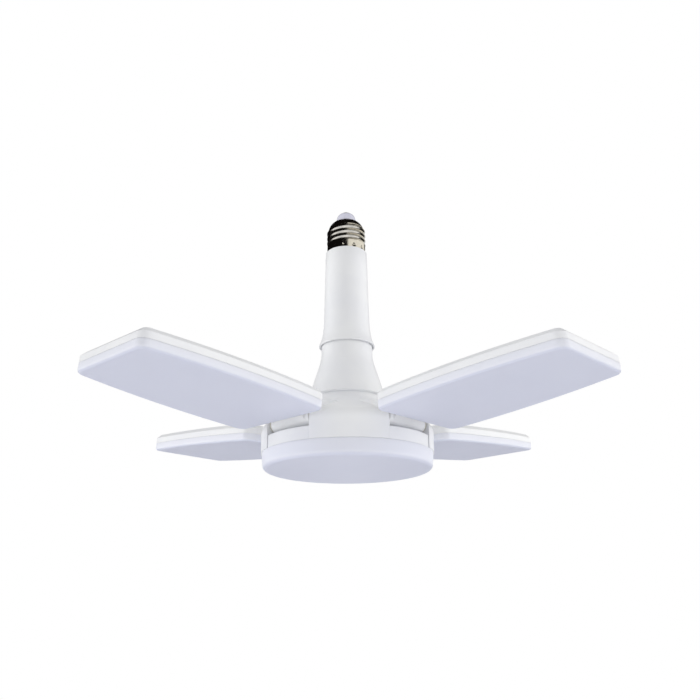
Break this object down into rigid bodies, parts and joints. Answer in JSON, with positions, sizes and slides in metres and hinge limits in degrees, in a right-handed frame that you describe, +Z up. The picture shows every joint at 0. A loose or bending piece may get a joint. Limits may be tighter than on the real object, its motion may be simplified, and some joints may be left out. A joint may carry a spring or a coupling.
{
  "type": "deformable garage light",
  "caption": "Screw-in LED lamp: a threaded cap, slim trumpet neck and lobed hub carry a round centre lamp and hinged flat panels that fold up beside the neck.",
  "frame": {"origin": "tip face of the centre contact on top of the screw cap", "axes": "+Z up along the lamp axis into the lampholder; hinged panels lie along +X, +Y, -X and -Y"},
  "size_m": [0.3466, 0.3466, 0.1808],
  "materials": {
    "white_plastic": "moulded satin white",
    "milky_cover": "milky polycarbonate",
    "nickel": "nickel plated, rolled",
    "contact_metal": "tinned",
    "aluminium_board": "white solder resist on aluminium",
    "lamp_chip": "phosphor in a white frame",
    "steel": "zinc plated",
    "nylon": "natural nylon",
    "circuit_board": "green solder resist",
    "component_black": "moulded black",
    "component_wound": "yellow winding tape"
  },
  "bodies": {
    "root": {"centre_contact": "contact_metal", "cap_insulator": "white_plastic", "screw_shell": "nickel", "driver_sleeve": "white_plastic", "neck_housing": "white_plastic", "hub_shell": "white_plastic", "base_tray": "white_plastic", "centre_lens": "milky_cover", "centre_led_board": "aluminium_board", "centre_leds": "lamp_chip", "tray_screws": "steel", "hinge_pins": "steel", "friction_washers": "nylon", "driver_board": "circuit_board", "driver_transformer": "component_wound", "driver_capacitor": "component_black", "output_capacitor": "component_black", "bridge_rectifier": "component_black", "driver_choke": "component_black", "fuse_resistor": "component_wound"},
    "panel_1": {"panel_housing_1": "white_plastic", "panel_lens_1": "milky_cover", "panel_led_board_1": "aluminium_board", "panel_leds_1": "lamp_chip", "panel_screws_1": "steel"},
    "panel_2": {"panel_housing_2": "white_plastic", "panel_lens_2": "milky_cover", "panel_led_board_2": "aluminium_board", "panel_leds_2": "lamp_chip", "panel_screws_2": "steel"},
    "panel_3": {"panel_housing_3": "white_plastic", "panel_lens_3": "milky_cover", "panel_led_board_3": "aluminium_board", "panel_leds_3": "lamp_chip", "panel_screws_3": "steel"},
    "panel_4": {"panel_housing_4": "white_plastic", "panel_lens_4": "milky_cover", "panel_led_board_4": "aluminium_board", "panel_leds_4": "lamp_chip", "panel_screws_4": "steel"}
  },
  "joints": [
    {"name": "panel_hinge_1", "type": "hinge", "parent": "root", "child": "panel_1", "pos_m": [0.045, 0, -0.156], "axis": [0, -1, 0], "range_deg": [-5.3, 84.7]},
    {"name": "panel_hinge_2", "type": "hinge", "parent": "root", "child": "panel_2", "pos_m": [0, 0.045, -0.156], "axis": [1, 0, 0], "range_deg": [-5.3, 84.7]},
    {"name": "panel_hinge_3", "type": "hinge", "parent": "root", "child": "panel_3", "pos_m": [-0.045, 0, -0.156], "axis": [0, 1, 0], "range_deg": [-5.3, 84.7]},
    {"name": "panel_hinge_4", "type": "hinge", "parent": "root", "child": "panel_4", "pos_m": [0, -0.045, -0.156], "axis": [-1, 0, 0], "range_deg": [-5.3, 84.7]}
  ]
}
